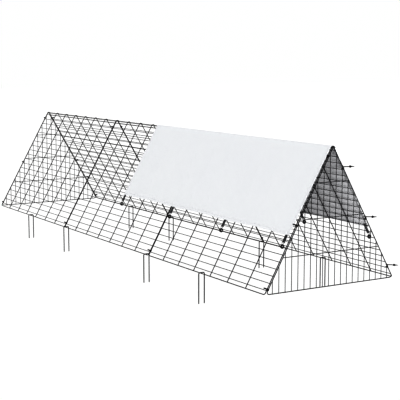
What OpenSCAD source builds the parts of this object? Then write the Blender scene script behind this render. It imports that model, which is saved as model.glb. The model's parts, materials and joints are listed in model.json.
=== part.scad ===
// Triangular wire run: three A-frame bays of welded mesh, closed at the back,
// with a hinged mesh door in front, a rain cover on the front half and ground stakes.
// X runs along the ridge towards the door, Z is up, and Z = 0 is at the stake tips.

/* [Run] */
// Length of one bay, from joint to joint
bay_l = 1500; // [1000:10:2000]
// Width between the axes of the bottom rails
run_w = 1030; // [900:10:1200]
// Height of the ridge bend above the bottom rails
ridge_h = 885; // [780:5:1000]
// Half the width of the bend over the ridge
ridge_half = 13; // [11:0.5:18]
// Distance between the two wires of a joint
joint_pitch = 8; // [7.8:0.1:10]
// How far the end panels lie inside the slopes, measured across the run
end_inset = 5; // [3:0.5:6]

/* [Wire] */
// Diameter of the panel frames and end frames
frame_d = 5; // [4.8:0.1:5.5]
// Diameter of the wires that run up the slopes
rib_d = 4.8; // [4:0.1:4.8]
// Diameter of the ridge rails
rail_d = 3.6; // [3:0.1:4.4]
// Diameter of the fine mesh wires
mesh_d = 3.5; // [2.5:0.1:4]
// Diameter of the cross bars of the end panels
bar_d = 4; // [3.6:0.1:4.5]
// How far welded wires sink into each other
weld = 0.4; // [0.3:0.05:0.6]
// Bend radius of the frame corners, at the wire's axis
bend_r = 14; // [10:1:20]
// Bend radius of the end frame's top
apex_r = 9; // [8:1:14]

/* [Mesh] */
// Cells along one bay
cells_long = 7; // [5:1:9]
// Height of the lowest mesh wire, measured up the slope
row_first = 29; // [26:1:36]
// Distance between mesh wires up the slope
row_pitch = 48.6; // [44:0.2:60]
// Least distance of the highest mesh wire from the ridge bend
row_end = 14; // [8:1:30]
// Uprights in an end panel
uprights = 20; // [16:2:24]
// Cross bars in an end panel, above the bottom rail
bars = 3; // [2:1:3]
// Height of the lowest cross bar above the bottom rail
bar_first = 220; // [160:1:240]
// Distance between cross bars
bar_pitch = 225; // [160:1:230]
// How far the cross bars end short of the frame's axis
bar_short = 2; // [1:0.1:2.2]
// How far the uprights lie inside the frame's plane
upright_in = 1.2; // [0.8:0.1:1.4]

/* [Ridge hooks] */
// Clearance between a ridge hook and the rail that it holds
hook_gap = 0.3; // [0.2:0.05:0.6]
// How far a ridge hook turns past the slope of the panel that it holds, in degrees
hook_over = 10; // [6:1:11]

/* [Clips] */
// Length of a clip along the wires
clip_l = 11; // [8:0.5:11]
// Clearance between a clip and the mesh wire below it
clip_clear = 0.8; // [0.4:0.1:1]
// Wall of a clip around its wires
clip_wall = 2.1; // [1.8:0.1:2.4]
// Wall of a clip on the side that faces the cover
clip_skin = 0.6; // [0.5:0.05:1]
// Radial clearance of a clip on its wires
clip_gap = 0.06; // [0.03:0.01:0.1]
// Length of a clip's finger lever
lever_l = 18; // [14:1:30]
// Diameter of a clip's finger lever
lever_d = 8; // [5:0.1:8.5]
// How far a lever stands off the slope, except under the cover, where it lies flat
lever_rise = 11; // [10:0.5:18]

/* [Door latches] */
// Distance of a latch's arm from the mesh wire below it
latch_up = 12; // [11:0.5:20]
// Length of a latch eye along its wire
eye_l = 24; // [16:0.5:28]
// How far a latch eye reaches below its arm
eye_below = 7; // [5:0.5:8]
// Wall of a latch eye
eye_wall = 1.9; // [1.6:0.1:2]
// Diameter of the latch arm
arm_d = 4.8; // [4:0.1:5.2]
// Distance from the pivot to the arm's axis
arm_offset = 13.6; // [13.4:0.1:16]
// Length of the arm up to the ball
arm_l = 48; // [40:1:60]
// Length from the ball to the tip
tip_l = 33; // [20:1:40]
// Diameter of the ball
ball_d = 14; // [10:0.5:16]
// Angle of the open arm, from the run's axis
arm_angle = 12; // [8:1:16]
// How far the arm's neck leans back from square to the arm
neck_lean = 25; // [20:1:30]
// Distance from the pivot to the end of the latch's finger tail
tail_l = 18; // [12:0.5:20]
// Diameter of the latch's finger tail
tail_d = 5; // [3.4:0.1:5]

/* [Stakes] */
// Length of a stake below the bottom rail's axis
stake_depth = 209; // [150:1:260]
// Distance between a stake's legs
stake_w = 44; // [38:1:60]
// Diameter of the stake rod
stake_d = 6; // [5:0.5:8]
// Bend radius of a stake's crown, at the rod's axis
stake_r = 9; // [7:0.5:12]
// Length of the bevel at a stake's tip
stake_bevel = 2; // [1:0.5:4]
// Clearance between a stake's crown and the rail
stake_gap = 0.3; // [0.2:0.1:1]
// Distance of the middle stakes from their joint
stake_inset = 32; // [26:1:60]

/* [Cover] */
// Length of the cover along the ridge
cover_l = 2239; // [1800:1:2700]
// Distance from the front joint to the cover's front corners
cover_set_back = 26; // [24:1:60]
// How much further forward the front hem stands at the ridge
cover_lead = 16; // [0:1:16]
// Length of the cover down each slope
cover_drop = 617; // [560:1:680]
// Thickness of the cover
cover_t = 1; // [0.6:0.1:2]
// Clearance of the cover over the clips
cover_gap = 0.25; // [0.2:0.05:0.5]

/* [Cover ties] */
// Distance of the end ties from the cover's hems
tie_inset = 25; // [20:1:40]
// Distance from the cover's hem down to the mesh wire that a hook holds
tie_reach = 80; // [70:1:100]
// Distance of the second tie from the joint that it stands by
tie_joint = 30; // [28:1:60]
// Width of an elastic strap
strap_b = 25; // [20:0.5:26]
// Thickness of an elastic strap
strap_t = 2; // [1.4:0.1:2.4]
// Length of the strap sewn under the cover
tab_l = 18; // [12:1:26]
// Diameter of the bail that carries the strap
bail_d = 2.8; // [2.4:0.1:4]
// Distance of the bail's bar from the hook ring
bail_l = 15; // [12:0.5:18]
// Outer diameter of the hook ring
ring_d = 27; // [25:0.5:30]
// Diameter of the hole in the hook ring
ring_hole = 10; // [9:0.5:13]
// Thickness of the hook ring
ring_t = 7; // [5:0.1:8]
// Clearance between a hook ring and its wire
ring_gap = 0.3; // [0.2:0.05:0.5]

/* [Hidden] */
$fn = 48;
black = "#1d1d20";
plastic = "#121214";
pale = "#e9ebef";
bend_lap = 3;
bend_thin = 0.1;
bulb = 0.4;

// Slope geometry: the near panels carry the ridge hooks and the far panels hang in them
rail_z = stake_depth;
half_w = run_w / 2;
slope_near = atan2(ridge_h, half_w - ridge_half);
length_near = norm([half_w - ridge_half, ridge_h]);
hook_r = ridge_half / sin(slope_near);
ridge_cz = ridge_h - hook_r * cos(slope_near);
hold_r = hook_r - frame_d / 2 - frame_d / 2 - hook_gap;
far_top = [hold_r * sin(slope_near), ridge_cz + hold_r * cos(slope_near)];
slope_far = atan2(far_top[1], half_w - far_top[0]);
length_far = norm([half_w - far_top[0], far_top[1]]);

// Panels and joints along the run
edge_u = bay_l / 2 - joint_pitch / 2;
rib_pitch = 2 * edge_u / cells_long;
end_w = end_inset * sin(slope_near);
end_tilt = asin(end_w / joint_pitch);
end_x = 1.5 * bay_l - joint_pitch / 2 + joint_pitch * cos(end_tilt);
end_half = half_w - end_inset;
row_w = -(rib_d / 2 + mesh_d / 2 - weld);
rail_r = hook_r - (rib_d / 2 + rail_d / 2 - weld);
rows = floor((length_near - row_end - row_first) / row_pitch) + 1;
wire_over = 1;
function bay_x(i) = (i - 1) * bay_l;
function joint_x(i) = (i - 1.5) * bay_l;
function row_v(k) = row_first + k * row_pitch;

// Clips and latches stand just above a mesh wire
clip_rows = [0, floor(rows * 0.45), rows - 2];
latch_rows = [rows - 4, floor(rows * 0.45), 1];
clip_off = mesh_d / 2 + clip_clear + clip_l / 2;
function clip_v(n) = row_v(clip_rows[n]) + clip_off;
function latch_v(n) = row_v(latch_rows[n]) + latch_up;
clip_r = frame_d / 2 + clip_gap + clip_wall;
bore_r = frame_d / 2 + clip_gap;
clip_top = bore_r + clip_skin;

// Stakes: the middle of the end bays, and beside both joints of the middle bay
crown_z = frame_d / 2 + stake_gap + stake_d / 2;
stake_x = [bay_x(0), joint_x(1) + stake_inset, joint_x(2) - stake_inset, bay_x(2)];

// Cover and ties
cover_x1 = joint_x(3) - cover_set_back;
cover_x0 = cover_x1 - cover_l;
cover_w = clip_top + cover_gap;
hem_v = length_near - cover_drop;
tie_row = round((hem_v - tie_reach - row_first) / row_pitch);
tie_x1 = cover_x0 + tie_inset;
tie_x2 = joint_x(2) + tie_joint;
tie_x4 = cover_x1 - tie_inset;
tie_x = [tie_x1, tie_x2, (tie_x2 + tie_x4) / 2, tie_x4];
ring_v = row_v(tie_row) + ring_hole / 2 - mesh_d / 2 - ring_gap;
ring_w = row_w;
bail_v = ring_v + ring_d / 2 + bail_l;
bail_half = strap_b / 2 + bail_d / 2 + 0.8;
bail_end = 1.6;
bail_thin = 0.6;
strap_w = cover_w - 0.5 - strap_t / 2;

// Places a panel drawn flat, with X along the run, Y up the slope and Z outwards
module near_slope() {
    translate([0, -half_w, rail_z]) rotate([slope_near, 0, 0]) children();
}
module far_slope() {
    mirror([0, 1, 0]) translate([0, -half_w, rail_z]) rotate([slope_far, 0, 0]) children();
}
// Places what is drawn in XY upright across the run, with its Z along the run
module across() {
    rotate([90, 0, 90]) children();
}

// Straight wires along X and along Y
module wire_x(from, to, d) {
    translate([from, 0, 0]) rotate([0, 90, 0]) cylinder(d = d, h = to - from);
}
module wire_y(from, to, d) {
    translate([0, from, 0]) rotate([-90, 0, 0]) cylinder(d = d, h = to - from);
}

// A wire bent round a centre in the XY plane, from angle a on by turn degrees.
// A bend is a hair thinner than its wire, and its ends lap into the straight wires.
module bend(r, a, turn, d) {
    rotate([0, 0, a - bend_lap]) rotate_extrude(angle = turn + 2 * bend_lap)
        translate([r, 0]) circle(d = d - bend_thin);
}

// Three sides of a panel frame: a bottom rail bent up into two edge wires
module frame_u(top) {
    wire_x(-edge_u + bend_r, edge_u - bend_r, frame_d);
    for (s = [-1, 1]) {
        translate([s * edge_u, 0, 0]) wire_y(bend_r, top, frame_d);
        translate([s * (edge_u - bend_r), bend_r, 0]) bend(bend_r, s > 0 ? 270 : 180, 90, frame_d);
    }
}

// Ribs inside the frame, and the mesh wires welded across their inner side
module mesh(top) {
    for (k = [1 : cells_long - 1]) {
        translate([-edge_u + k * rib_pitch, 0, 0]) wire_y(0, top, rib_d);
    }
    for (k = [0 : rows - 1]) {
        translate([0, row_v(k), row_w]) wire_x(-edge_u - wire_over, edge_u + wire_over, mesh_d);
    }
}

// Hook over the ridge at the top of a near wire
module ridge_hook(u, d) {
    translate([u, length_near, -hook_r]) rotate([0, -90, 0])
        bend(hook_r, 0, 2 * slope_near + hook_over, d);
}

module near_panel(i) {
    color(black) near_slope() translate([bay_x(i), 0, 0]) {
        frame_u(length_near);
        mesh(length_near);
        translate([0, length_near + rail_r * sin(slope_near), rail_r * cos(slope_near) - hook_r])
            wire_x(-edge_u - wire_over, edge_u + wire_over, rail_d);
        for (k = [0 : cells_long]) {
            ridge_hook(-edge_u + k * rib_pitch, k == 0 || k == cells_long ? frame_d : rib_d);
        }
    }
}

module far_panel(i) {
    color(black) far_slope() translate([bay_x(i), 0, 0]) {
        frame_u(length_far);
        mesh(length_far);
        translate([0, length_far, 0]) wire_x(-edge_u - wire_over, edge_u + wire_over, rail_d);
    }
}

// End frame outline in XY: two bottom corners and the top, where the slopes meet
top_y = end_half * (tan(slope_far) - tan(slope_near)) / (tan(slope_far) + tan(slope_near));
top_z = (top_y + end_half) * tan(slope_near);
corners = [[-end_half, 0], [end_half, 0], [top_y, top_z]];
corner_r = [bend_r, bend_r, apex_r];
function slope_z(y) = y < top_y ? (y + end_half) * tan(slope_near) : (end_half - y) * tan(slope_far);

// A closed loop of wire through three corners, each bent to its own radius
module wire_loop(p, r, d) {
    for (i = [0 : 2]) {
        a = p[i];
        b = p[(i + 1) % 3];
        c = p[(i + 2) % 3];
        ab = (b - a) / norm(b - a);
        bc = (c - b) / norm(c - b);
        ca = (a - c) / norm(a - c);
        turn_a = acos(ca * ab);
        turn_b = acos(ab * bc);
        cut_a = r[i] * tan(turn_a / 2);
        cut_b = r[(i + 1) % 3] * tan(turn_b / 2);
        dir = atan2(ab[1], ab[0]);
        translate(a + ab * cut_a) rotate([0, 0, dir - 90]) wire_y(0, norm(b - a) - cut_a - cut_b, d);
        translate(b - ab * cut_b + r[(i + 1) % 3] * [-ab[1], ab[0]])
            bend(r[(i + 1) % 3], dir - 90, turn_b, d);
    }
}

// End panel in XY, with its cross bars on the outer side of the uprights
module end_panel() {
    wire_loop(corners, corner_r, frame_d);
    for (j = [1 : uprights]) {
        y = -end_half + j * 2 * end_half / (uprights + 1);
        translate([y, 0, -upright_in]) wire_y(0, slope_z(y), mesh_d);
    }
    for (k = [0 : bars - 1]) {
        z = bar_first + k * bar_pitch;
        from = -end_half + z / tan(slope_near) + bar_short;
        to = end_half - z / tan(slope_far) - bar_short;
        translate([0, z, mesh_d / 2 + bar_d / 2 - weld - upright_in]) wire_x(from, to, bar_d);
    }
}
module back_end_panel() {
    color(black) translate([-end_x, 0, rail_z]) mirror([1, 0, 0]) across() end_panel();
}
module door_panel() {
    color(black) translate([end_x, 0, rail_z]) across() end_panel();
}

// Clip over the two wires of a joint, drawn round the joint's middle, with its lever towards side.
// An open lever stands off the slope, and one under the cover lies flat. A clip of an end panel is
// tilted round the slope's wire, because the end panel lies further in.
module clip_body() {
    difference() {
        intersection() {
            union() {
                for (s = [-1, 1]) {
                    translate([s * joint_pitch / 2, 0, 0]) wire_y(-clip_l / 2, clip_l / 2, 2 * clip_r);
                }
                translate([-joint_pitch / 2, -clip_l / 2, -clip_r])
                    cube([joint_pitch, clip_l, 2 * clip_r]);
            }
            translate([-bay_l / 2, -clip_l, clip_top - 4 * clip_r])
                cube([bay_l, 2 * clip_l, 4 * clip_r]);
        }
        for (s = [-1, 1]) {
            translate([s * joint_pitch / 2, 0, 0]) wire_y(-clip_l, clip_l, 2 * bore_r);
        }
    }
}
module clip(side, open, tilt) {
    wire = joint_pitch / 2;
    root = wire + bore_r + clip_wall / 3;
    low = clip_top - 1 - lever_d / 2;
    mirror([side > 0 ? 0 : 1, 0, 0]) {
        translate([wire, 0, 0]) rotate([0, -tilt, 0]) translate([-wire, 0, 0]) clip_body();
        if (open) {
            translate([wire, 0, clip_top - clip_skin / 2])
                cylinder(d = lever_d, h = lever_rise - clip_top);
            translate([wire, 0, lever_rise - clip_skin / 2]) {
                sphere(d = lever_d + bulb);
                wire_x(0, lever_l, lever_d - bend_thin);
                translate([lever_l, 0, 0]) sphere(d = lever_d + bulb);
            }
        } else {
            translate([0, 0, low]) wire_x(root, root + lever_l, lever_d);
            translate([root + lever_l, 0, low]) sphere(d = lever_d + bulb);
        }
    }
}
module clip_row(joint, side, middle_v) {
    for (n = [0 : 2]) {
        translate([joint_x(joint), n == 1 ? middle_v : clip_v(n), 0])
            clip(side, joint < 2 || n == 0, joint == 0 ? end_tilt : 0);
    }
}
module near_clips(joint) {
    color(plastic) near_slope() clip_row(joint, joint == 0 ? 1 : -1, clip_v(1));
}
// The middle clip of the far back joint stands below its mesh wire, clear of an upright
module far_clips(joint) {
    color(plastic) far_slope()
        clip_row(joint, joint == 0 ? 1 : -1, joint == 0 ? clip_v(1) - 2 * clip_off : clip_v(1));
}
module hinge_clip(n) {
    color(plastic) near_slope() translate([joint_x(3), clip_v(n), 0]) clip(-1, n < 2, end_tilt);
}

// Latch drawn round its pivot, which is the front edge wire of the far panel
module latch_body() {
    eye_r = bore_r + eye_wall;
    neck_a = arm_angle + 90 + neck_lean;
    arm_back = arm_offset * tan(neck_lean);
    difference() {
        wire_y(eye_below - eye_l, eye_below, 2 * eye_r);
        wire_y(-2 * eye_l, 2 * eye_l, 2 * bore_r);
    }
    rotate([90, 0, 0]) {
        rotate([0, 0, neck_a]) wire_x(bore_r + eye_wall / 2, arm_offset / cos(neck_lean), arm_d);
        rotate([0, 0, arm_angle]) translate([0, arm_offset, 0]) {
            translate([-arm_back, 0, 0]) sphere(d = arm_d + bulb);
            wire_x(-arm_back, arm_l, arm_d - bend_thin);
            translate([arm_l, 0, 0]) {
                sphere(d = ball_d);
                rotate([0, 90, 0]) cylinder(d1 = ball_d * 0.6, d2 = arm_d / 2, h = tip_l);
            }
            translate([arm_l + tip_l, 0, 0]) sphere(d = arm_d / 2 + bulb);
        }
        rotate([0, 0, 258]) {
            wire_x(bore_r + eye_wall / 2, tail_l, tail_d);
            translate([tail_l, 0, 0]) sphere(d = tail_d + bulb);
        }
    }
}
module latch(n) {
    color(plastic) far_slope() translate([joint_x(3) - joint_pitch / 2, latch_v(n), 0])
        mirror([0, 1, 0]) latch_body();
}

// Stake over the bottom rail, drawn in the plane across the run
module stake(x, side) {
    half = stake_w / 2;
    color(black) translate([x, side * half_w, rail_z]) across() {
        translate([0, crown_z, 0]) wire_x(stake_r - half, half - stake_r, stake_d);
        for (s = [-1, 1]) {
            translate([s * (half - stake_r), crown_z - stake_r, 0])
                bend(stake_r, s > 0 ? 0 : 90, 90, stake_d);
            translate([s * half, 0, 0]) {
                wire_y(-stake_depth + stake_bevel, crown_z - stake_r, stake_d);
                translate([0, -stake_depth, 0]) rotate([-90, 0, 0])
                    cylinder(d1 = stake_d / 2, d2 = stake_d, h = stake_bevel);
            }
        }
    }
}

// Cover: two flat slopes joined by a round ridge above the hooks
ridge_steps = 16;
function cover_hem(w) = [
    -half_w + hem_v * cos(slope_near) - w * sin(slope_near),
    hem_v * sin(slope_near) + w * cos(slope_near)
];
function cover_line(w) = concat(
    [cover_hem(w)],
    [for (k = [0 : ridge_steps])
        let (a = 90 + slope_near * (1 - 2 * k / ridge_steps))
            [(hook_r + w) * cos(a), ridge_cz + (hook_r + w) * sin(a)]],
    [[-cover_hem(w)[0], cover_hem(w)[1]]]
);
function reversed(list) = [for (k = [len(list) - 1 : -1 : 0]) list[k]];
// Its front hem runs from the corners forward to the ridge
module cover() {
    outline = concat(cover_line(cover_w + cover_t), reversed(cover_line(cover_w)));
    low = cover_hem(cover_w)[1];
    high = ridge_cz + hook_r + cover_w + cover_t;
    back = cover_x0 - 1;
    side = [[back, 0], [cover_x1, 0], [cover_x1, low], [cover_x1 + cover_lead, high],
        [cover_x1 + cover_lead, 2 * high], [back, 2 * high]];
    color(pale) translate([0, 0, rail_z]) intersection() {
        translate([cover_x0, 0, 0]) across() linear_extrude(cover_l + cover_lead + 1) polygon(outline);
        translate([0, run_w, 0]) rotate([90, 0, 0]) linear_extrude(2 * run_w) polygon(side);
    }
}

// Elastic tie: a flat strap sewn under the hem, with its lower end folded round the hook's bail
module tie_body() {
    fold_d = bail_d + 0.6 + 2 * strap_t;
    difference() {
        union() {
            translate([-strap_b / 2, bail_v, strap_w - strap_t / 2])
                cube([strap_b, hem_v + tab_l - bail_v, strap_t]);
            translate([0, bail_v, strap_w]) wire_x(-strap_b / 3, strap_b / 3, fold_d);
        }
        translate([0, bail_v, strap_w]) wire_x(-strap_b, strap_b, bail_d + 0.6);
    }
}

// Hook: a ring across the mesh wire, open at the back, and a three-sided bail for the strap
module hook_body() {
    foot_x = ring_t / 3;
    foot_v = ring_v + ring_d / 3;
    reach = norm([bail_half - foot_x, bail_v - foot_v]);
    lean = atan2(bail_v - foot_v, bail_half - foot_x);
    difference() {
        translate([0, ring_v, ring_w]) wire_x(-ring_t / 2, ring_t / 2, ring_d);
        translate([0, ring_v, ring_w]) wire_x(-ring_t, ring_t, ring_hole);
        translate([-ring_t, ring_v - mesh_d / 2 - ring_gap, ring_w - ring_d])
            cube([2 * ring_t, mesh_d + 2 * ring_gap, ring_d]);
    }
    translate([0, bail_v, strap_w]) wire_x(-bail_half - bail_end, bail_half + bail_end, bail_d);
    for (s = [-1, 1]) {
        translate([s * bail_half, bail_v, strap_w])
            rotate([0, 0, s > 0 ? 180 + lean : -lean]) wire_x(0, reach, bail_d - bail_thin);
    }
}
module near_tie(n) {
    color(plastic) near_slope() translate([tie_x[n], 0, 0]) tie_body();
}
module far_tie(n) {
    color(plastic) far_slope() translate([tie_x[n], 0, 0]) tie_body();
}
module near_hook(n) {
    color(plastic) near_slope() translate([tie_x[n], 0, 0]) hook_body();
}
module far_hook(n) {
    color(plastic) far_slope() translate([tie_x[n], 0, 0]) hook_body();
}

near_panel(0);  // near_panel_back
near_panel(1);  // near_panel_middle
near_panel(2);  // near_panel_front
far_panel(0);  // far_panel_back
far_panel(1);  // far_panel_middle
far_panel(2);  // far_panel_front
back_end_panel();
door_panel();
near_clips(0);  // near_clips_back
near_clips(1);  // near_clips_joint_1
near_clips(2);  // near_clips_joint_2
far_clips(0);  // far_clips_back
far_clips(1);  // far_clips_joint_1
far_clips(2);  // far_clips_joint_2
hinge_clip(2);  // hinge_clip_top
hinge_clip(1);  // hinge_clip_middle
hinge_clip(0);  // hinge_clip_bottom
latch(0);  // latch_top
latch(1);  // latch_middle
latch(2);  // latch_bottom
stake(stake_x[0], -1);  // near_stake_1
stake(stake_x[1], -1);  // near_stake_2
stake(stake_x[2], -1);  // near_stake_3
stake(stake_x[3], -1);  // near_stake_4
stake(stake_x[0], 1);  // far_stake_1
stake(stake_x[1], 1);  // far_stake_2
stake(stake_x[2], 1);  // far_stake_3
stake(stake_x[3], 1);  // far_stake_4
cover();
near_tie(0);  // near_tie_1
near_tie(1);  // near_tie_2
near_tie(2);  // near_tie_3
near_tie(3);  // near_tie_4
far_tie(0);  // far_tie_1
far_tie(1);  // far_tie_2
far_tie(2);  // far_tie_3
far_tie(3);  // far_tie_4
near_hook(0);  // near_hook_1
near_hook(1);  // near_hook_2
near_hook(2);  // near_hook_3
near_hook(3);  // near_hook_4
far_hook(0);  // far_hook_1
far_hook(1);  // far_hook_2
far_hook(2);  // far_hook_3
far_hook(3);  // far_hook_4
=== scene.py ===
import json
import math

import bmesh
import bpy
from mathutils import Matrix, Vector


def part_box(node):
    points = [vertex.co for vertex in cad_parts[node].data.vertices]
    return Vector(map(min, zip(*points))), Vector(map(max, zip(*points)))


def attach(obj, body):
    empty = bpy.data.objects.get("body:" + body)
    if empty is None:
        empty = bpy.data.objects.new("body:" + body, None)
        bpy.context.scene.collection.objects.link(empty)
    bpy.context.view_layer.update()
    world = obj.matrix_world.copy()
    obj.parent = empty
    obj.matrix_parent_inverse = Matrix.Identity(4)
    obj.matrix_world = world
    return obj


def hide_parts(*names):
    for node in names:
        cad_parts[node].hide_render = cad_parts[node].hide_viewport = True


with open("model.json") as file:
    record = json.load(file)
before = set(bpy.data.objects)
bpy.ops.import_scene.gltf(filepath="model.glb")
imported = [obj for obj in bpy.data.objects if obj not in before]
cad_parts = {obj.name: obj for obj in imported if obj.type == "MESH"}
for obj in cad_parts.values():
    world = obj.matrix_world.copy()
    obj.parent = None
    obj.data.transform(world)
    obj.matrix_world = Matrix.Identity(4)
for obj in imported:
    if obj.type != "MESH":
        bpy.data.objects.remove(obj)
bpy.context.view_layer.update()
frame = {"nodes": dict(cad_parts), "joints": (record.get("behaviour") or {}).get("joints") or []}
nodes = frame["nodes"]
joints = {joint["name"]: joint for joint in frame["joints"]}

# Wire sizes in metres
FRAME_WIRE_D = 0.005
BAY_L = 1.5
JOINT_PITCH = 0.008
CELLS_LONG = 7
RIDGE_HALF = 0.013

# Cover sizes in metres: the CAD cover is a plain sheet of COVER_T, this one is a thin coated weave
# RIDGE_HOLD and TIE_HOLD are how far from the ridge and from a tie the sheet comes free
COVER_DROP = 0.617
COVER_T = 0.001
COVER_OVER = 0.00341
COVER_LEAD = 0.016
SHEET_T = 0.0007
SHEET_STEP = 0.014
RIDGE_STEPS = 6
RIB_SAG = 0.0025
RIDGE_HOLD = 0.16
TIE_HOLD = 0.06
HEM_SCALLOP = 0.005
PUCKER_H = 0.0012
PUCKER_REACH = 0.11
PUCKER_START = 0.08
PUCKER_FOOT = 0.004
PUCKER_WAVES = 7
HEM_W = 0.020
HEM_T = 0.0009
HEM_STEP = 0.0003
HEM_SINK = 0.0002
HEM_ROUND = 0.003
HEM_LIP = 0.0006
SEAM_IN = 0.005
STITCH_L = 0.0045
STITCH_PITCH = 0.0065
STITCH_D = 0.0006
BOX_W = 0.021
BOX_L = 0.010
BOX_LOW = 0.004

# Tie sizes in metres; BAIL_UP is the bail's height up the slope from the bottom rail
STRAP_W = 0.025
STRAP_T = 0.002
STRAP_OVER = 0.00191
STRAP_STEP = 0.0013
STRAP_RIBS = 13
RIB_POINTS = 4
EDGE_SHARE = 0.45
RIB_DEPTH = 0.00018
BAIL_UP = 0.35205
BAIL_D = 0.0028
BAIL_GAP = 0.0003
FOLD_W = 0.0165
FOLD_L = 0.019
FOLD_GAP = 0.0001
FOLD_EASE = 0.008
FOLD_STEPS = 12
FOLD_SEAMS = (0.0125, 0.0165)
FOLD_SEAM_L = 0.022
STRAP_EASE = 0.013
TAPER_START = 0.001
TAPER_L = 0.011
TAB_L = 0.018

# What the frame gives: slopes from the joint axes, rails and cover from the nodes' boxes
hinge_axis = Vector(joints["door_hinge"]["axis"])
latch_axis = Vector(joints["latch_top_turn"]["axis"])
near_slope = math.atan2(-hinge_axis.z, -hinge_axis.y)
far_slope = math.atan2(-latch_axis.z, latch_axis.y)
rail_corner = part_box("near_panel_back")[0]
half_width = -rail_corner.y - FRAME_WIRE_D / 2
rail_z = rail_corner.z + FRAME_WIRE_D / 2
cover_low, cover_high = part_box("cover")
hook_bend_r = RIDGE_HALF / math.sin(near_slope)
ridge_z = cover_high.z - COVER_T - COVER_OVER - hook_bend_r
ridge_r = hook_bend_r + COVER_OVER + COVER_T / 2
ridge_arc = ridge_r * near_slope
slope_l = (half_width - RIDGE_HALF) / math.cos(near_slope)
hem_v = slope_l - COVER_DROP
cover_half = ridge_arc + COVER_DROP
cover_l = cover_high.x - cover_low.x
edge_u = (BAY_L - JOINT_PITCH) / 2
rib_pitch = 2 * edge_u / CELLS_LONG
rib_lines = [
    bay * BAY_L - edge_u + k * rib_pitch for bay in (0, 1) for k in range(CELLS_LONG + 1)
]
TIES = (1, 2, 3, 4)


def middle_x(node):
    low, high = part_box(node)
    return (low.x + high.x) / 2


tie_x = [middle_x(f"near_hook_{n}") for n in TIES]


# Camera: placed and turned as the photograph was taken, for a square picture
CAMERA_EYE = (7.4743, -4.1564, 1.6877)
CAMERA_TURN = 58.722
CAMERA_DOWN = 7.959
CAMERA_LENS = 95.1
CAMERA_SENSOR = 36
CAMERA_REACH = 200

camera_data = bpy.data.cameras.new("camera")
camera_data.sensor_width = CAMERA_SENSOR
camera_data.lens = CAMERA_LENS
camera_data.clip_end = CAMERA_REACH
camera = bpy.data.objects.new("camera", camera_data)
camera.location = CAMERA_EYE
camera.rotation_euler = (math.radians(90 - CAMERA_DOWN), 0, math.radians(CAMERA_TURN))
bpy.context.scene.collection.objects.link(camera)
bpy.context.scene.camera = camera


# Materials
def linear(colour):
    """An sRGB hex colour as linear RGBA."""
    parts = [int(colour[k:k + 2], 16) / 255 for k in (1, 3, 5)]
    return [c / 12.92 if c <= 0.04045 else ((c + 0.055) / 1.055) ** 2.4 for c in parts] + [1]


def put(tree, kind, inputs=None, **settings):
    """Adds a node with its settings. An input is a value, or the output that is linked to it."""
    made = tree.nodes.new(kind)
    for name, value in settings.items():
        setattr(made, name, value)
    for socket, value in (inputs or {}).items():
        if isinstance(value, bpy.types.NodeSocket):
            tree.links.new(value, made.inputs[socket])
        else:
            made.inputs[socket].default_value = value
    return made


def per_metre(size_mm):
    """Texture scale at which one repeat is that many millimetres."""
    return 1000 / size_mm


def start_material(name):
    material = bpy.data.materials.new(name)
    material.use_nodes = True
    tree = material.node_tree
    tree.nodes.clear()
    return material, tree, put(tree, "ShaderNodeTexCoord").outputs["Object"]


def finish_material(tree, inputs):
    shader = put(tree, "ShaderNodeBsdfPrincipled", inputs)
    put(tree, "ShaderNodeOutputMaterial", {"Surface": shader.outputs["BSDF"]})


def powder_coat(name, dark, pale, scuff_top):
    """Black polyester powder coat, sprayed and baked on steel wire: a satin black with a faint
    orange-peel skin and duller patches. Below scuff_top soil has rubbed the coat grey."""
    material, tree, place = start_material(name)
    patches = put(tree, "ShaderNodeTexNoise", {"Vector": place, "Scale": per_metre(45), "Detail": 3})
    tint = put(tree, "ShaderNodeMix", {
        0: patches.outputs["Fac"], 6: linear(dark), 7: linear(pale)}, data_type="RGBA")
    # Powder coat peels at about 1 mm, drawn at 1.5 mm so that it shows
    peel = put(tree, "ShaderNodeTexNoise", {"Vector": place, "Scale": per_metre(1.5), "Detail": 2})
    bump = put(tree, "ShaderNodeBump", {
        "Height": peel.outputs["Fac"], "Strength": 0.25, "Distance": 0.0002})
    height = put(tree, "ShaderNodeSeparateXYZ", {"Vector": place})
    low = put(tree, "ShaderNodeMapRange", {
        "Value": height.outputs["Z"], "From Min": scuff_top, "From Max": 0, "To Min": 0, "To Max": 1})
    grit = put(tree, "ShaderNodeTexNoise", {"Vector": place, "Scale": per_metre(6), "Detail": 5})
    rubbed = put(tree, "ShaderNodeMath", {0: low.outputs["Result"], 1: grit.outputs["Fac"]},
                 operation="MULTIPLY")
    worn = put(tree, "ShaderNodeMapRange", {
        "Value": rubbed.outputs["Value"], "From Min": 0.35, "From Max": 0.6, "To Max": 0.5})
    colour = put(tree, "ShaderNodeMix", {
        0: worn.outputs["Result"], 6: tint.outputs[2], 7: linear("#5e5b55")}, data_type="RGBA")
    rough = put(tree, "ShaderNodeMapRange", {
        "Value": patches.outputs["Fac"], "To Min": 0.36, "To Max": 0.52})
    finish_material(tree, {
        "Base Color": colour.outputs[2], "Roughness": rough.outputs["Result"], "IOR": 1.5,
        "Normal": bump.outputs["Normal"]})
    return material


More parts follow.
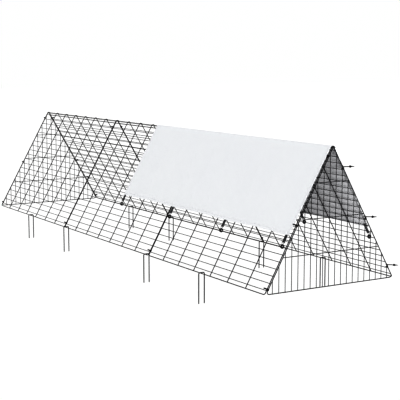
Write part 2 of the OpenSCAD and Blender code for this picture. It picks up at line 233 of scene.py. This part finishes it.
def moulded_nylon(name, colour, flow, rough_low, rough_high):
    """Black nylon, injection moulded in a spark-eroded tool: a fine matte grain, slightly paler along
    the flow lines, with a soft edge light."""
    material, tree, place = start_material(name)
    clouds = put(tree, "ShaderNodeTexNoise", {"Vector": place, "Scale": per_metre(12), "Detail": 4})
    tint = put(tree, "ShaderNodeMix", {
        0: clouds.outputs["Fac"], 6: linear(colour), 7: linear(flow)}, data_type="RGBA")
    # Spark erosion leaves pits of about 0.1 mm, drawn at 0.5 mm so that they show
    pits = put(tree, "ShaderNodeTexVoronoi", {"Vector": place, "Scale": per_metre(0.5)})
    bump = put(tree, "ShaderNodeBump", {
        "Height": pits.outputs["Distance"], "Strength": 0.2, "Distance": 0.0001})
    rough = put(tree, "ShaderNodeMapRange", {
        "Value": clouds.outputs["Fac"], "To Min": rough_low, "To Max": rough_high})
    finish_material(tree, {
        "Base Color": tint.outputs[2], "Roughness": rough.outputs["Result"], "IOR": 1.53,
        "Normal": bump.outputs["Normal"]})
    return material


def coated_weave(name, pale, shade, rough):
    """Woven polyethylene tape with a coated face: a milky sheet with a faint square weave and a soft,
    waxy sheen. The back is a second copy, duller, its grey colour painted shade. The tapes lie along
    the ridge and across it."""
    material, tree, place = start_material(name)
    # Tapes are 1.2 mm wide, drawn at 4 mm so that the weave shows
    weave_scale = per_metre(4) / 2
    bands = [
        put(tree, "ShaderNodeTexWave", {"Vector": place, "Scale": weave_scale / math.pi},
            wave_type="BANDS", bands_direction=axis, wave_profile="SIN")
        for axis in ("X", "Z")]
    weave = put(tree, "ShaderNodeMath", {
        0: bands[0].outputs["Fac"], 1: bands[1].outputs["Fac"]}, operation="MULTIPLY")
    clouds = put(tree, "ShaderNodeTexNoise", {"Vector": place, "Scale": per_metre(260), "Detail": 4})
    tint = put(tree, "ShaderNodeMix", {
        0: clouds.outputs["Fac"], 6: linear(pale), 7: linear(shade)}, data_type="RGBA")
    bump = put(tree, "ShaderNodeBump", {
        "Height": weave.outputs["Value"], "Strength": 0.12, "Distance": 0.0002})
    shine = put(tree, "ShaderNodeMapRange", {
        "Value": weave.outputs["Value"], "To Min": rough + 0.08, "To Max": rough - 0.05})
    finish_material(tree, {
        "Base Color": tint.outputs[2], "Roughness": shine.outputs["Result"], "IOR": 1.5,
        "Specular IOR Level": 0.35, "Normal": bump.outputs["Normal"]})
    return material


def sewing_thread(name, colour, shade):
    """Spun polyester thread: dull, with a fine twist drawn as painted highlight and painted shade."""
    material, tree, place = start_material(name)
    # The twist is 0.6 mm long, drawn at 1.2 mm so that it shows
    twist = put(tree, "ShaderNodeTexNoise", {"Vector": place, "Scale": per_metre(1.2), "Detail": 1})
    # Painted highlight and painted shade of the twist, as random mottling
    tint = put(tree, "ShaderNodeMix", {
        0: twist.outputs["Fac"], 6: linear(colour), 7: linear(shade)}, data_type="RGBA")
    finish_material(tree, {"Base Color": tint.outputs[2], "Roughness": 0.8, "IOR": 1.5})
    return material


def woven_elastic(name, colour, shade):
    """Rubber threads woven into polyester webbing: dull charcoal, with cross yarns between the
    lengthwise ribs. The yarns' middles are painted paler as painted highlight, their edges darker as
    painted shade."""
    material, tree, place = start_material(name)
    # Cross yarns are 0.7 mm apart, drawn at 1.4 mm so that they show
    yarns = put(tree, "ShaderNodeTexVoronoi", {"Vector": place, "Scale": per_metre(1.4)})
    # Painted highlight at each yarn's middle, painted shade at its edges
    tint = put(tree, "ShaderNodeMix", {
        0: yarns.outputs["Distance"], 6: linear(shade), 7: linear(colour)}, data_type="RGBA")
    bump = put(tree, "ShaderNodeBump", {
        "Height": yarns.outputs["Distance"], "Strength": 0.4, "Distance": 0.0002}, invert=True)
    finish_material(tree, {
        "Base Color": tint.outputs[2], "Roughness": 0.8, "IOR": 1.5, "Sheen Weight": 0.15,
        "Normal": bump.outputs["Normal"]})
    return material


wire_coat = powder_coat("powder_coated_wire", "#0b0b0c", "#141416", rail_z - 0.02)
stake_coat = powder_coat("powder_coated_rod", "#0e0e10", "#1a1a1c", rail_z - 0.05)
clip_nylon = moulded_nylon("moulded_clip_nylon", "#0c0c0d", "#161618", 0.5, 0.65)
hook_nylon = moulded_nylon("polished_hook_nylon", "#0a0a0b", "#121214", 0.3, 0.42)
cover_face = coated_weave("coated_polyethylene_weave", "#eff0f1", "#ecedef", 0.5)
# The back is the same white sheet painted grey: painted shade for the shade inside the run
cover_back_painted_shade = coated_weave("polyethylene_back_painted_shade", "#bbbbbc", "#b6b6b8", 0.6)
# The thread's second, darker colour is the painted shade of its twist
hem_thread = sewing_thread("white_polyester_thread", "#f4f5f7", "#dcdfe4")
# The second, paler colour is the yarns' painted highlight
tie_elastic = woven_elastic("woven_elastic_webbing", "#3a3b3d", "#4c4d50")
# The thread's second, darker colour is the painted shade of its twist
tie_thread = sewing_thread("grey_polyester_thread", "#66686c", "#4a4c50")


# Mesh helpers
def add_piece(name, bm, materials, body):
    mesh = bpy.data.meshes.new(name)
    bmesh.ops.recalc_face_normals(bm, faces=bm.faces)
    bm.to_mesh(mesh)
    bm.free()
    for material in materials:
        mesh.materials.append(material)
    mesh.polygons.foreach_set("use_smooth", [True] * len(mesh.polygons))
    piece = bpy.data.objects.new(name, mesh)
    bpy.context.scene.collection.objects.link(piece)
    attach(piece, body)
    return piece


def add_grid(bm, rows, material=0, closed=False):
    """Joins rows of points with quads. closed joins each row's end to its start."""
    made = [[bm.verts.new(point) for point in row] for row in rows]
    for low, high in zip(made, made[1:]):
        count = len(low)
        for k in range(count if closed else count - 1):
            nxt = (k + 1) % count
            face = bm.faces.new((low[k], low[nxt], high[nxt], high[k]))
            face.material_index = material
    return made


def cap(bm, row, material=0):
    bm.faces.new(row).material_index = material


def evenly(low, high, step):
    count = max(1, round((high - low) / step))
    return [low + (high - low) * k / count for k in range(count + 1)]


def blend(t):
    """Rises smoothly from 0 to 1."""
    t = min(max(t, 0), 1)
    return t * t * (3 - 2 * t)


# Cover: a sheet over the ridge that sags between the ribs and puckers at its ties
# Long shallow folds: x and distance from the ridge at both ends, then height and width
LONG_FOLDS = (
    (0.06, -0.60, 0.30, -0.08, 0.0012, 0.020),
    (0.16, -0.61, 0.42, -0.12, 0.0010, 0.024),
    (0.02, -0.56, 0.12, -0.20, 0.0009, 0.016),
    (1.66, -0.40, 1.95, -0.05, 0.0009, 0.022),
    (1.90, -0.38, 2.12, -0.06, 0.0008, 0.020),
    (0.30, 0.58, 0.55, 0.10, 0.0011, 0.022),
    (1.40, 0.56, 1.62, 0.16, 0.0010, 0.024),
    (2.16, 0.60, 1.95, 0.14, 0.0011, 0.018),
)


def rib_sag(x):
    """How far the sheet sinks between the two wires that carry it, deepest half way."""
    before = max((line for line in rib_lines if line <= x), default=rib_lines[0])
    after = min((line for line in rib_lines if line > x), default=rib_lines[-1])
    if after <= before:
        return 0
    t = (x - before) / (after - before)
    return RIB_SAG * 4 * t * (1 - t) * (after - before) / rib_pitch


def hem_rise(x):
    """How far the hem draws up between two ties."""
    for before, after in zip(tie_x, tie_x[1:]):
        if before <= x <= after:
            return HEM_SCALLOP * math.sin(math.pi * (x - before) / (after - before)) ** 2
    return 0


def pucker(x, down):
    """Short creases that fan up the sheet from each tie."""
    total = 0
    for tie in tie_x:
        along = x - tie
        up = cover_half - down
        reach = math.hypot(along, up)
        angle = math.atan2(along, up + PUCKER_FOOT)
        wave = math.cos(PUCKER_WAVES * angle)
        total += wave * math.exp(-reach / PUCKER_REACH) * blend(reach / PUCKER_START)
    return PUCKER_H * total


def tie_slack(x, down):
    """How free the sheet is: 0 where it lies flat on a tie's sewn end, and 1 well away from it."""
    up = max(cover_half - down - TAB_L, 0)
    away = min(math.hypot(max(abs(x - tie) - STRAP_W / 2, 0), up) for tie in tie_x)
    return blend(away / TIE_HOLD)


def long_folds(x, across):
    total = 0
    for x0, a0, x1, a1, height, width in LONG_FOLDS:
        run = Vector((x1 - x0, a1 - a0))
        t = (x - x0) * run.x + (across - a0) * run.y
        t = t / run.length_squared
        if 0 < t < 1:
            off = ((x - x0) * run.y - (across - a0) * run.x) / run.length
            total += height * math.sin(math.pi * t) * math.exp(-(off / width) ** 2)
    return total


def sheet_lift(x, across):
    down = abs(across)
    slack = blend((down - ridge_arc) / RIDGE_HOLD) * tie_slack(x, down)
    return slack * (pucker(x, down) - rib_sag(x)) + long_folds(x, across)


def cover_point(x, across, over):
    """A point of the cover: across is its distance from the ridge top along the cloth, negative on
    the near slope, and over its height over the middle of the cloth."""
    down = abs(across)
    turn = min(down / ridge_r, near_slope)
    beyond = max(down - ridge_arc, 0)
    beyond -= hem_rise(x) * (beyond / COVER_DROP) ** 2
    r = ridge_r + sheet_lift(x, across) + over
    y = r * math.sin(turn) + beyond * math.cos(near_slope)
    z = ridge_z + r * math.cos(turn) - beyond * math.sin(near_slope)
    return Vector((x, math.copysign(y, across), z))


def front_x(across):
    """Where the front hem stands: furthest forward at the ridge and back at the corners."""
    return cover_high.x - COVER_LEAD * max(abs(across) - ridge_arc, 0) / COVER_DROP


across_steps = (
    evenly(-cover_half, -ridge_arc, SHEET_STEP)[:-1]
    + [ridge_arc * (k / RIDGE_STEPS - 1) for k in range(2 * RIDGE_STEPS)]
    + evenly(ridge_arc, cover_half, SHEET_STEP)
)
along_steps = evenly(0, 1, SHEET_STEP / cover_l)


def cover_rows(over):
    return [
        [cover_point(cover_low.x + t * (front_x(a) - cover_low.x), a, over) for a in across_steps]
        for t in along_steps]


def make_cover():
    bm = bmesh.new()
    outer = add_grid(bm, cover_rows(SHEET_T / 2))
    # The inner face gets the back's painted shade
    inner = add_grid(bm, cover_rows(-SHEET_T / 2), 1)
    rims = [(outer[0], inner[0]), (outer[-1], inner[-1])]
    for end in (0, -1):
        rims.append(([row[end] for row in outer], [row[end] for row in inner]))
    for top, under in rims:
        for k in range(len(top) - 1):
            bm.faces.new((top[k], top[k + 1], under[k + 1], under[k]))
    return add_piece("rain_cover", bm, [cover_face, cover_back_painted_shade], "frame")


# Hem: the edge folded round and sewn down, as a flat band with a round edge
# Each point is a distance in from the sheet's edge and a height over its middle
HEM_SECTION = (
    (HEM_W + HEM_STEP, SHEET_T / 2 - HEM_SINK),
    (HEM_W, SHEET_T / 2 + HEM_T / 3),
    (HEM_W / 2, SHEET_T / 2 + HEM_T / 3),
    (HEM_ROUND, SHEET_T / 2 + HEM_T / 3),
    (HEM_ROUND / 3, SHEET_T / 2 + HEM_T / 4),
    (-HEM_LIP, HEM_LIP / 3),
    (-HEM_LIP, -HEM_LIP * 2 / 3),
    (HEM_ROUND / 3, -SHEET_T / 2 - HEM_T / 3),
    (HEM_ROUND, -SHEET_T / 2 - HEM_T / 2),
    (HEM_W / 2, -SHEET_T / 2 - HEM_T / 2),
    (HEM_W, -SHEET_T / 2 - HEM_T / 3),
    (HEM_W + HEM_STEP, -SHEET_T / 2 + HEM_SINK),
)


def sweep_band(bm, sections):
    """A closed band through the sections. Its half under the sheet shows the sheet's back, with its
    painted shade.
    """
    half = len(HEM_SECTION) // 2
    made = [[bm.verts.new(point) for point in section] for section in sections]
    for low, high in zip(made, made[1:]):
        for k in range(len(low)):
            nxt = (k + 1) % len(low)
            face = bm.faces.new((low[k], low[nxt], high[nxt], high[k]))
            face.material_index = 0 if k < half else 1
    cap(bm, made[0])
    cap(bm, made[-1])


def make_hems():
    bm = bmesh.new()
    for side in (-1, 1):
        reach = front_x(cover_half) - cover_low.x
        steps = [cover_low.x + t * reach for t in along_steps if HEM_W < t * reach < reach - HEM_W]
        sweep_band(bm, [
            [cover_point(x, side * (cover_half - d), over) for d, over in HEM_SECTION] for x in steps])
    sweep_band(bm, [
        [cover_point(cover_low.x + d, a, over) for d, over in HEM_SECTION] for a in across_steps])
    sweep_band(bm, [
        [cover_point(front_x(a) - d, a, over) for d, over in HEM_SECTION] for a in across_steps])
    return add_piece("cover_hems", bm, [cover_face, cover_back_painted_shade], "frame")


def add_stitch(bm, start, end, up, material=0):
    """One stitch: a thread that dips into the cloth at both ends."""
    run = (end - start).normalized()
    side = up.cross(run) * STITCH_D / 2
    middle = (start + end) / 2
    ring = [middle + side, middle + up * STITCH_D / 2, middle - side, middle - up * STITCH_D / 2]
    corners = [bm.verts.new(p) for p in ring]
    tips = [bm.verts.new(start), bm.verts.new(end)]
    for k in range(4):
        nxt = (k + 1) % 4
        for face in ((corners[k], corners[nxt], tips[0]), (corners[nxt], corners[k], tips[1])):
            bm.faces.new(face).material_index = material


def stitch_row(bm, place, length, over, material=0):
    """Stitches along place(t, over), where t runs from 0 to length."""
    count = int(length / STITCH_PITCH)
    for k in range(count):
        t = (k + 0.5) * length / count
        start = place(t - STITCH_L / 2, over)
        end = place(t + STITCH_L / 2, over)
        up = place(t, over + STITCH_D) - place(t, over)
        add_stitch(bm, start, end, up.normalized(), material)


def make_stitching():
    bm = bmesh.new()
    faces = (SHEET_T / 2 + HEM_T / 4, -SHEET_T / 2 - HEM_T / 2)
    seam = HEM_W - SEAM_IN
    for over in faces:
        for side in (-1, 1):
            stitch_row(
                bm, lambda t, o: cover_point(cover_low.x + seam + t, side * (cover_half - seam), o),
                front_x(cover_half) - cover_low.x - 2 * seam, over)
        for place in (
                lambda t, o: cover_point(cover_low.x + seam, t - cover_half + seam, o),
                lambda t, o: cover_point(front_x(t - cover_half) - seam, t - cover_half + seam, o)):
            stitch_row(bm, place, 2 * (cover_half - seam), over)
    # A box of stitches holds each tie under the hem
    for side in (-1, 1):
        for tie in tie_x:
            for x in (tie - BOX_W / 2, tie + BOX_W / 2):
                stitch_row(
                    bm, lambda t, o: cover_point(x, side * (cover_half - BOX_LOW - t), o), BOX_L, faces[0])
            for down in (BOX_LOW, BOX_LOW + BOX_L):
                stitch_row(
                    bm, lambda t, o: cover_point(tie - BOX_W / 2 + t, side * (cover_half - down), o),
                    BOX_W, faces[0])
    return add_piece("cover_stitching", bm, [hem_thread], "frame")


cover = make_cover()
hems = make_hems()
stitching = make_stitching()
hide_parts("cover")


# Ties: a strap of woven elastic, folded round the hook's bail and sewn under the hem
def slope_point(side, x, up, over):
    """A point on a slope: up from the bottom rail along the ribs, and over their axes."""
    angle = near_slope if side < 0 else far_slope
    y = half_width - up * math.cos(angle) + over * math.sin(angle)
    z = rail_z + up * math.sin(angle) + over * math.cos(angle)
    return Vector((x, side * y, z))


fold_r = BAIL_D / 2 + BAIL_GAP + STRAP_T / 2


def strap_path():
    """The strap's middle line from its sewn end behind, down round the bail and up to the hem, as
    heights over the bail and over the strap's plane, with the strap's width there."""
    line = []
    behind = STRAP_T + FOLD_GAP
    for up in reversed(evenly(0, FOLD_L, STRAP_STEP)):
        line.append((up, -behind - (fold_r - behind) * blend(1 - up / FOLD_EASE)))
    for k in range(1, FOLD_STEPS):
        a = math.pi * k / FOLD_STEPS
        line.append((-fold_r * math.sin(a), -fold_r * math.cos(a)))
    for up in evenly(0, hem_v + TAB_L - BAIL_UP, STRAP_STEP):
        line.append((up, fold_r * blend(1 - up / STRAP_EASE)))
    return [
        (up, over, FOLD_W + (STRAP_W - FOLD_W) * blend((up - TAPER_START) / TAPER_L))
        for up, over in line]


def strap_section():
    """Points round the strap, as shares of its half width and half thickness, with lengthwise ribs."""
    count = RIB_POINTS * STRAP_RIBS
    top = []
    for k in range(count + 1):
        u = 2 * k / count - 1
        groove = (1 - math.cos(2 * math.pi * k / RIB_POINTS)) / 2
        rib = 1 - 2 * RIB_DEPTH / STRAP_T * groove
        top.append((u, rib * (EDGE_SHARE if k in (0, count) else 1)))
    return top + [(u, -h) for u, h in reversed(top)]


def make_tie(side_name, side, n):
    bm = bmesh.new()
    x = tie_x[n - 1]
    path = strap_path()
    section = strap_section()
    rows = []
    for k, (up, over, width) in enumerate(path):
        before, after = path[max(k - 1, 0)], path[min(k + 1, len(path) - 1)]
        run = Vector((after[0] - before[0], after[1] - before[1])).normalized()
        rows.append([
            slope_point(
                side, x + u * width / 2, BAIL_UP + up - run.y * h * STRAP_T / 2,
                STRAP_OVER + over + run.x * h * STRAP_T / 2)
            for u, h in section])
    made = add_grid(bm, rows, closed=True)
    cap(bm, made[0])
    cap(bm, made[-1])
    for up in FOLD_SEAMS:
        stitch_row(
            bm, lambda t, o: slope_point(side, x - FOLD_SEAM_L / 2 + t, BAIL_UP + up, STRAP_OVER + o),
            FOLD_SEAM_L, STRAP_T / 2 + fold_r * blend(1 - up / STRAP_EASE), 1)
    piece = add_piece(f"{side_name}_elastic_{n}", bm, [tie_elastic, tie_thread], "frame")
    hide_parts(f"{side_name}_tie_{n}")


for side_name, side in (("near", -1), ("far", 1)):
    for n in TIES:
        make_tie(side_name, side, n)


# Finishes of the CAD nodes, by the kind of piece
FINISHES = (
    ("panel", wire_coat), ("stake", stake_coat), ("clip", clip_nylon), ("latch", clip_nylon),
    ("hook", hook_nylon),
)
for name, node in nodes.items():
    for word, material in FINISHES:
        if word in name:
            for slot in node.material_slots:
                slot.material = material


# Floor, light and sky
FLOOR_REACH = 40
FLOOR_STEP = 10
SKY_STRENGTH = 1.0


def studio_floor(name, colour, shade, glow):
    """Opal acrylic floor lit from below, as product tables are: an even pale white that keeps only
    faint shadows, with very slight clouding."""
    material, tree, place = start_material(name)
    marks = put(tree, "ShaderNodeTexNoise", {"Vector": place, "Scale": per_metre(900), "Detail": 2})
    tint = put(tree, "ShaderNodeMix", {
        0: marks.outputs["Fac"], 6: linear(colour), 7: linear(shade)}, data_type="RGBA")
    finish_material(tree, {
        "Base Color": tint.outputs[2], "Roughness": 0.9, "IOR": 1.5, "Specular IOR Level": 0.1,
        "Emission Color": linear("#ffffff"), "Emission Strength": glow})
    return material


floor_mesh = bpy.data.meshes.new("studio_floor")
floor_bm = bmesh.new()
floor_steps = evenly(-FLOOR_REACH, FLOOR_REACH, FLOOR_STEP)
add_grid(floor_bm, [[Vector((x, y, 0)) for x in floor_steps] for y in floor_steps])
bmesh.ops.recalc_face_normals(floor_bm, faces=floor_bm.faces)
floor_bm.to_mesh(floor_mesh)
floor_bm.free()
floor_mesh.materials.append(studio_floor("opal_acrylic_lit", "#5c5c5c", "#595959", 0.915))
floor = bpy.data.objects.new("studio_floor", floor_mesh)
bpy.context.scene.collection.objects.link(floor)

world = bpy.data.worlds.new("studio_sky")
world.use_nodes = True
sky = world.node_tree.nodes["Background"]
sky.inputs["Color"].default_value = linear("#ffffff")
sky.inputs["Strength"].default_value = SKY_STRENGTH
bpy.context.scene.world = world


def soft_light(name, place, aim, size, power, glints=True):
    data = bpy.data.lights.new(name, "AREA")
    data.shape = "DISK"
    data.size = size
    data.energy = power
    light = bpy.data.objects.new(name, data)
    light.location = place
    light.visible_camera = False
    light.visible_glossy = glints
    light.rotation_euler = (Vector(aim) - Vector(place)).to_track_quat("-Z", "Y").to_euler()
    bpy.context.scene.collection.objects.link(light)


soft_light("key_light", place=(3.0, -7.0, 7.0), aim=(0.6, 0, 0.6), size=5.0, power=60)
# Low in front of the door, so that the cover's inside grows darker away from the door
soft_light(
    "door_light", place=(3.6, 0, 0.4), aim=(2.0, 0.2, 0.75), size=0.8, power=70, glints=False)

# Thin black wires on white look paler drawn in light than in the photo, so the display darkens them
DISPLAY_GAMMA = 0.475

bpy.context.scene.view_settings.view_transform = "Standard"
bpy.context.scene.view_settings.look = "None"
bpy.context.scene.view_settings.gamma = DISPLAY_GAMMA
